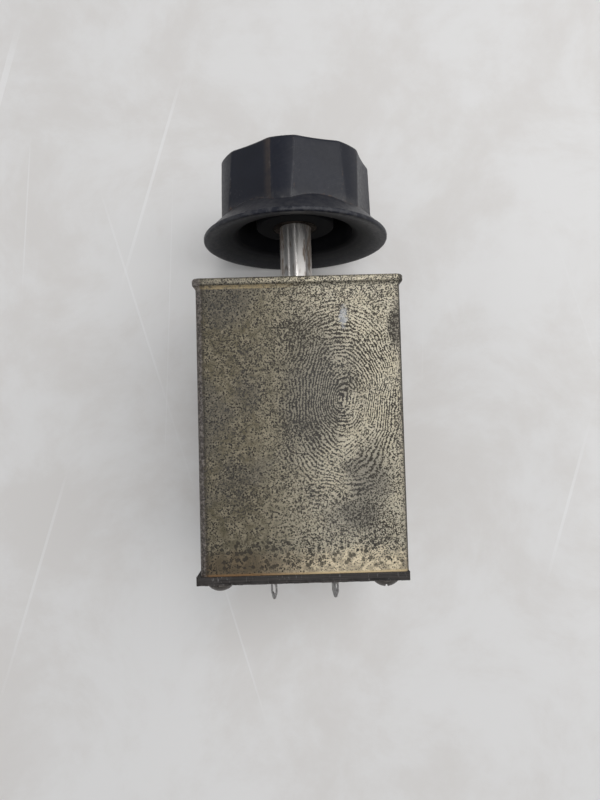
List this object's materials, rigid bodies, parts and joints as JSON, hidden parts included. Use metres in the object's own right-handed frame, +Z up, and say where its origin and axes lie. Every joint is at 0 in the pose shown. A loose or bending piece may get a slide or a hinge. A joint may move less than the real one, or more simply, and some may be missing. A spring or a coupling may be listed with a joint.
{
  "type": "variable tuning capacitor",
  "caption": "Screened variable air capacitor: square tarnished can, front plate, rear laminate board with solder tags, and a shaft with a fluted skirted knob.",
  "frame": {"origin": "centre of the front plate's outer face, on the shaft axis", "axes": "+Y along the shaft towards the knob, +Z up as it lies on its side, +X to the right seen from above with the knob away from the viewer"},
  "size_m": [0.0366, 0.0861, 0.0366],
  "materials": {
    "tarnished_can": "heavily tarnished plated brass sheet, mottled grey-olive, satin",
    "tarnished_plate": "tarnished plated brass, greyer, satin",
    "black_laminate": "black paper laminate, dull, slightly ragged edge",
    "steel": "turned steel",
    "screw_steel": "darkened slotted screws",
    "shaft_steel": "ground steel with a little rust near the plate",
    "polished_steel": "polished bearing steel",
    "brass": "turned brass",
    "bronze": "phosphor bronze strip",
    "vane_aluminium": "pressed aluminium sheet",
    "ceramic": "unglazed white ceramic",
    "tinned_tag": "brass tag, tinned at the tip",
    "tinned_wire": "tinned copper wire",
    "black_phenolic": "black moulded phenolic, satin, worn at the edges"
  },
  "bodies": {
    "frame": {"front_plate": "tarnished_plate", "shield_can": "tarnished_can", "rear_board": "black_laminate", "frame_pillars": "steel", "front_screws": "screw_steel", "rear_screws": "screw_steel", "bearing_cup": "brass", "stop_pin": "steel", "stator_vanes": "vane_aluminium", "stator_rods": "brass", "stator_spacers": "brass", "stator_end_tubes": "brass", "ceramic_bushes": "ceramic", "stator_nuts": "brass", "stator_lead": "tinned_wire", "rear_bush": "brass", "adjusting_screw": "screw_steel", "lock_nut": "brass", "rear_ball": "polished_steel", "stator_tag": "tinned_tag", "rotor_tag": "tinned_tag", "wiper_spring": "bronze", "wiper_rivet": "brass"},
    "ball_ring": {"bearing_balls": "polished_steel", "ball_cage": "brass"},
    "rotor": {"rotor_shaft": "shaft_steel", "bearing_cone": "steel", "stop_sector": "steel", "rotor_vanes": "vane_aluminium", "rotor_spacers": "brass", "vane_collar": "brass", "knob_body": "black_phenolic", "knob_insert": "brass", "grub_screw": "screw_steel"}
  },
  "joints": [
    {"name": "rotor_turn", "type": "hinge", "parent": "frame", "child": "rotor", "pos_m": [0, 0, 0], "axis": [0, -1, 0], "range_deg": [0, 180]},
    {"name": "balls_roll", "type": "hinge", "parent": "frame", "child": "ball_ring", "pos_m": [0, 0, 0], "axis": [0, -1, 0], "range_deg": [0, 82]}
  ],
  "couplings": [
    {"joint": "balls_roll", "follows": "rotor_turn", "ratio": 0.4532}
  ]
}
